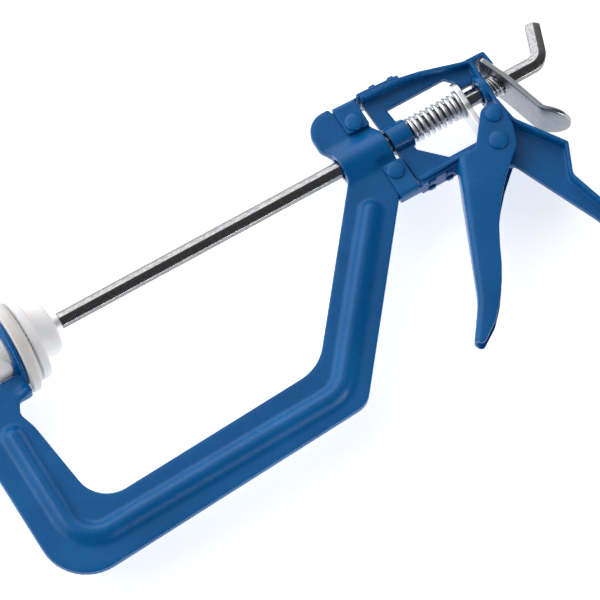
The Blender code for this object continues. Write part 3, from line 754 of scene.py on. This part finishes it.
def hex_ring(size):
    """A hexagon's section with slightly rounded corners, corners towards +Z and -Z."""
    corner = ROD_FLATS / math.sqrt(3) * size
    angles = [math.radians(60 * i + 90) for i in range(6)]
    return fillet([(corner * math.cos(a), corner * math.sin(a), 0.45) for a in angles], True, 20)


def clamp_rod():
    lean = math.radians(ROD_LEAN)
    leg = Vector((math.sin(lean), math.cos(lean)))
    tip = Vector((ROD_BEND_X, 0)) + leg * ROD_LEG
    path = run([(21.0, 0, 0), (ROD_BEND_X, 0, 7.0), (tip.x, tip.y, 0)], 4.0, 5)
    ways = np.gradient(path, axis=0)
    ways /= np.linalg.norm(ways, axis=1)[:, None]
    to_tip = np.linalg.norm(path - path[-1], axis=1)
    stations = [(p, w, 1.0) for p, w, left in zip(path, ways, to_tip) if left > 1.3]
    last = ways[-1]
    for back, size in ((1.2, 1.0), (0.85, 0.985), (0.5, 0.93), (0.2, 0.85), (0.0, 0.74)):
        stations.append((path[-1] - last * back, last, size))
    rings = [[(20.7, a, b) for a, b in hex_ring(0.9)]]
    for (x, y), (wx, wy), size in stations:
        rings.append([(x - wy * a, y + wx * a, b) for a, b in hex_ring(size)])
    ball = lathe([
        (4.2, 0, 0), (4.2, 4.0, 0), (5.4, 5.0, 0.8), (8.6, 5.0, 0.6), (9.5, 3.2, 0.3), (22, 3.2, 0),
        (22, 0, 0),
    ], 48)
    return joined(loft(rings), ball)


def serrated(face_x, way):
    """Fine radial teeth pressed into a pad's clamping face near its rim."""
    def shape(height, radius, angle):
        tooth = 0.5 + 0.5 * math.cos(PAD_TEETH * angle)
        near = (np.abs(height - face_x) < 0.8) & (radius > 14)
        return height + way * TOOTH_DEPTH * tooth * near
    return shape


def moving_pad():
    return lathe([
        (3.4, 0, 0), (3.4, 5.5, 0), (8.9, 5.5, 0.5), (9.9, 3.6, 0), (16.7, 3.6, 0),
        (16.7, 11.2, 0.9), (15.5, 13.0, 1.2), (13.1, 13.4, 1.0), (5.6, 13.8, 0.8), (5.6, 20.6, 0.6),
        (4.8, 21.2, 0.5), (1.2, 21.2, 0.6), (0.3, 20.2, 0.4), (0.3, 15, 0), (0.3, 0, 0),
    ][::-1], 216, shape=serrated(0.3, 1))


def fixed_pad():
    """A pad with a grooved hub for its clip and a foot that shows through the jaw's window."""
    moulding = lathe([
        (0, 0, 0), (0, 15, 0), (0, 21.1, 0.6), (-2.6, 24.3, 0.8), (-6.8, 24.3, 0.8), (-6.8, 5, 0.5),
        (-9.3, 5, 0.2), (-9.3, 12.2, 0.8), (-13.8, 8.8, 0.8), (-13.8, 4.1, 0.2), (-16, 4.1, 0.2),
        (-16, 8.8, 0.8), (-20.6, 8.8, 1.6), (-23, 3.5, 0.6), (-23, 0, 0),
    ], 216, shape=serrated(0.0, -1))
    foot = block((-20.4, -13.4, -6.4), (-10.6, -3.5, 6.4), 2.2, 1.2)
    return joined(moulding, foot)


def ring(x0, x1, inner, outer, edge, steps=56):
    return lathe([(x0, inner, edge), (x0, outer, edge), (x1, outer, edge), (x1, inner, edge)],
                 steps, closed=True)


piece("hexagon_rod", clamp_rod(), ROD, "rod", ["clamp_rod"], sharp=50)
piece("moving_pad_moulding", moving_pad(), NYLON, "pad", ["moving_pad"])
piece("fixed_pad_moulding", fixed_pad(), DULL_NYLON, "frame", ["fixed_pad"])
piece("fixed_pad_spring_clip", ring(-15.6, -14.4, 4.4, 7.2, 0.25), ZINC, "frame",
      ["fixed_pad_clip"])
piece("pad_collar_ring", ring(17.1, 20.7, 3.6, 5.4, 0.4), STEEL, "rod",
      ["pad_retaining_collar"])


# ---------------------------------------------------------------- trigger

TRIGGER_LOOP = loop([*TRIGGER_FRONT, TRIGGER_TOE, TRIGGER_TIP, *TRIGGER_BACK], 1.2, 6)
FRONT_LINE = run([*TRIGGER_FRONT, TRIGGER_TOE], 1.2, 6)
BACK_LINE = run([TRIGGER_TOE, TRIGGER_TIP, *TRIGGER_BACK, TRIGGER_FRONT[0]], 1.2, 6)
FOLD_ROWS = (0.136, 0.536, 1.17, 1.48, 1.52, 2.0, 2.96, 4.0)    # mesh rows back from the fold
WEB_TOP = -32.5                    # above this the channel has cheeks and no web


def trigger_width(y):
    """The outer face of a cheek, from the middle plane."""
    return TRIGGER_OUTSIDE - TRIGGER_TAPER * np.clip(TAPER_TOP - y, 0, None)


def trigger_top(places, gap):
    fold = drop(distance(places, FRONT_LINE, False), 4.0)
    edge = drop(distance(places, BACK_LINE, False), 0.5)
    return trigger_width(places[:, 1]) - np.maximum(fold, edge)


def trigger_bottom(places, gap):
    y = places[:, 1]
    front = distance(places, FRONT_LINE, False)
    has_web = ease((-29.5 - y) / 3)
    inner = trigger_width(y) - TRIGGER_SHEET - drop(np.clip(front - TRIGGER_SHEET, 0, None), 2.5) * has_web
    inner = np.minimum(inner, trigger_top(places, gap) - 0.5)
    return np.where((front < TRIGGER_SHEET) & (y < WEB_TOP), 0.0, np.maximum(inner, 0.0))


def trigger_lever():
    """Two cheeks joined by the web along the front line. Faces on the middle plane are left out."""
    rows = [(inset(FRONT_LINE, gap, False), False) for gap in FOLD_ROWS]
    for y in (WEB_TOP - 0.02, WEB_TOP + 0.02):
        rows.append((np.array([(225.2 + 0.5 * i, y) for i in range(8)]), False))
    side = sheet([TRIGGER_LOOP], trigger_top, trigger_bottom, 2.2, edge=0.5, rows=rows)
    verts, faces = joined(side, mirrored(side))
    flat = np.abs(verts[:, 2]) < 1e-6
    return verts, [polygon for polygon in faces if not all(flat[i] for i in polygon)]


piece("trigger_channel", trigger_lever(), PAINT, "trigger", ["trigger_lever"])


# ---------------------------------------------------------------- drive plate, springs, release

def drive_plate():
    """The plate across the rod, with a round top and a foot that the trigger's pin pushes."""
    outline = [(-7, -20.5, 1), (7, -20.5, 1), (7, -7, 2), (8, -4, 2), (8, 11, 7.9), (-8, 11, 7.9)]
    outline += [(-8, -4, 2), (-7, -7, 2)]
    plate = slab([loop(outline, 1.2), circle((0, 0), BORE)], -PLATE_HALF, PLATE_HALF, 1.6, 0.45)
    foot = block((-6.4, -19.9, -0.5), (6.4, -12.6, 4.8), 0.8, 0.5)
    verts, faces = joined(plate, foot)
    x, y, z = verts.T
    return np.column_stack([z + PLATE_X + PLATE_HALF, y, -x]), faces


def coil(start, end, radius, wire, turns, closed_turns=1.0, slope=0.0):
    """A compression spring round the rod, its end turns closed up and its wire ends tapered.

    slope leans the last turn over, to lie along a tilted plate.
    """
    pitch_closed = wire * 1.12
    rise = (end - start - wire) - 2 * closed_turns * pitch_closed
    pitch = rise / (turns - 2 * closed_turns)
    count = round(turns * 36)
    line = []
    for index in range(count + 1):
        turn = index * turns / count
        opened = min(max(turn - closed_turns, 0), turns - 2 * closed_turns)
        x = start + wire / 2 + opened * pitch + (turn - opened) * pitch_closed
        angle = turn * math.tau
        middle = np.array((x, radius * math.cos(angle), radius * math.sin(angle)))
        middle[0] -= middle[1] * slope * turn / turns
        line.append(middle)
    line = np.array(line)
    ways = np.gradient(line, axis=0)
    ways /= np.linalg.norm(ways, axis=1)[:, None]
    rings = []
    for index, (middle, way) in enumerate(zip(line, ways)):
        outward = np.array((0, middle[1], middle[2]))
        outward -= way * (outward @ way)
        outward /= np.linalg.norm(outward)
        side = np.cross(way, outward)
        size = wire / 2 * (0.8 if index in (0, count) else 1)
        rings.append([
            middle + size * (math.cos(a) * outward + math.sin(a) * side)
            for a in np.radians(np.arange(0, 360, 30))
        ])
    return loft(rings)


def release_plate():
    """A flat plate with a half-round end, bent along its path and crossed by the rod."""
    path = run(RELEASE_PATH, 0.8, 4)
    lengths = np.concatenate([[0], np.cumsum(np.linalg.norm(np.diff(path, axis=0), axis=1))])
    total = lengths[-1]
    crossing = np.interp(0, -path[:, 1], lengths)
    half = RELEASE_WIDTH / 2
    outline = [(0, -half, 1.5), (total, -half, half - 0.05), (total, half, half - 0.05), (0, half, 1.5)]
    hole = circle((crossing, 0), BORE, stretch=1.1)
    verts, faces = slab([loop(outline, 1.2), hole], -RELEASE_HALF, RELEASE_HALF, 1.5, 0.6)
    u, v, w = verts.T
    ways = np.gradient(path, axis=0)
    ways /= np.linalg.norm(ways, axis=1)[:, None]
    x, y = (np.interp(u, lengths, path[:, i]) for i in range(2))
    wx, wy = (np.interp(u, lengths, ways[:, i]) for i in range(2))
    size = np.hypot(wx, wy)
    return np.column_stack([x - w * wy / size, y + w * wx / size, v]), faces


piece("drive_plate_pressing", drive_plate(), ZINC, "drive", ["drive_plate"])
piece("drive_spring_end_washer", ring(PLATE_X - 1.5, PLATE_X - 0.3, 5.2, 7.4, 0.3), ZINC, "drive",
      ["drive_spring_washer"])
drive_spring = piece("drive_spring_wire", coil(217.4, 244.2, 5.95, 1.9, 8.6), WIRE, "frame",
                     ["drive_spring"], sharp=60)
release_spring = piece("release_spring_wire", coil(261.8, 266.9, 5.6, 0.9, 3.2, 0.6, 0.42), WIRE,
                       "frame", ["release_spring"], sharp=60)
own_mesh(drive_spring)
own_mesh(release_spring)
piece("release_plate_pressing", release_plate(), SHADED_ZINC_SHEET, "release", ["release_plate"])


# ---------------------------------------------------------------- floor, light and camera

FLOOR_LEVEL, FLOOR_HALF = -24.6, 3.0       # in millimetres and in metres
LIT_POINT = (120, -50, 0)                  # the lights point here
# Name, direction from the lit point, distance, width and height in metres, and watts.
LIGHTS = [
    ("key softbox", (-0.25, 0.85, 0.6), 1.1, 2.0, 1.2, 8.6),
    ("side softbox", (-0.9, 0.25, 0.6), 1.1, 0.8, 0.8, 3.0),
    ("fill softbox", (0.4, -0.88, 0.15), 1.2, 0.9, 0.2, 6.4),
]
VIEW_TURN, VIEW_RISE = math.radians(30.6), math.radians(66.93)
RIGHT = Vector((math.cos(VIEW_TURN), -math.sin(VIEW_TURN), 0))
BACK = Vector((-math.sin(VIEW_TURN) * math.cos(VIEW_RISE), -math.cos(VIEW_TURN) * math.cos(VIEW_RISE),
               math.sin(VIEW_RISE)))
UP = BACK.cross(RIGHT)
VIEW_WIDTH = 288.4615                      # millimetres that the picture's width shows
VIEW_MIDDLE = (134.1346, 20.1923)          # the picture's middle, right of and above the fixed pad's
CAMERA_MM = 4000.0


def floor():
    mesh = bpy.data.meshes.new("floor")
    size, level = FLOOR_HALF, place((0, 0, FLOOR_LEVEL)).z
    mesh.from_pydata([(-size, -size, level), (size, -size, level), (size, size, level),
                      (-size, size, level)], [], [(0, 1, 2, 3)])
    obj = bpy.data.objects.new("floor", mesh)
    bpy.context.scene.collection.objects.link(obj)
    made, tree, shader, spot = finish_base(
        "pale floor", Roughness=0.8, Specular_IOR_Level=0.1, Emission_Strength=0.62,
        Emission_Color=(1, 1, 1, 1),
    )
    ramp(tree, noise(tree, spot, 3, 2), shader.inputs["Base Color"], (0.3, 0.90), (0.7, 0.93))
    mesh.materials.append(made)


def area_light(name, direction, away, width, height, power):
    light = bpy.data.lights.new(name, "AREA")
    light.energy = power
    light.shape = "RECTANGLE"
    light.size = width
    light.size_y = height
    obj = bpy.data.objects.new(name, light)
    direction = Vector(direction).normalized()
    obj.location = place(LIT_POINT) + direction * away
    obj.rotation_mode = "QUATERNION"
    obj.rotation_quaternion = direction.to_track_quat("Z", "Y")
    bpy.context.scene.collection.objects.link(obj)


def studio():
    """A soft surround that brightens towards +Y and overhead, and three softboxes."""
    world = bpy.data.worlds.new("studio")
    world.use_nodes = True
    tree = world.node_tree
    background = tree.nodes["Background"]
    background.inputs["Strength"].default_value = 1.0
    way = tree.nodes.new("ShaderNodeTexCoord").outputs["Generated"]
    facing = tree.nodes.new("ShaderNodeVectorMath")
    facing.operation = "DOT_PRODUCT"
    facing.inputs[1].default_value = (-0.05, 0.425, 0.15)
    tree.links.new(way, facing.inputs[0])
    raised = tree.nodes.new("ShaderNodeMath")
    raised.inputs[1].default_value = 0.5
    tree.links.new(facing.outputs["Value"], raised.inputs[0])
    ramp(tree, raised.outputs["Value"], background.inputs["Color"],
         (0.38, 0.07), (0.55, 0.22), (0.76, 0.62), (0.9, 0.8))
    bpy.context.scene.world = world
    for light in LIGHTS:
        area_light(*light)


def camera():
    data = bpy.data.cameras.new("camera")
    data.lens = data.sensor_width * CAMERA_MM / VIEW_WIDTH
    data.clip_end = 20
    obj = bpy.data.objects.new("camera", data)
    across, upward = VIEW_MIDDLE
    target = place(RIGHT * across + UP * upward)
    turn = Matrix((RIGHT, UP, BACK)).transposed().to_4x4()
    obj.matrix_world = Matrix.Translation(target + BACK * CAMERA_MM * MM) @ turn
    bpy.context.scene.collection.objects.link(obj)
    bpy.context.scene.camera = obj


floor()
studio()
camera()
bpy.context.scene.view_settings.view_transform = "Standard"
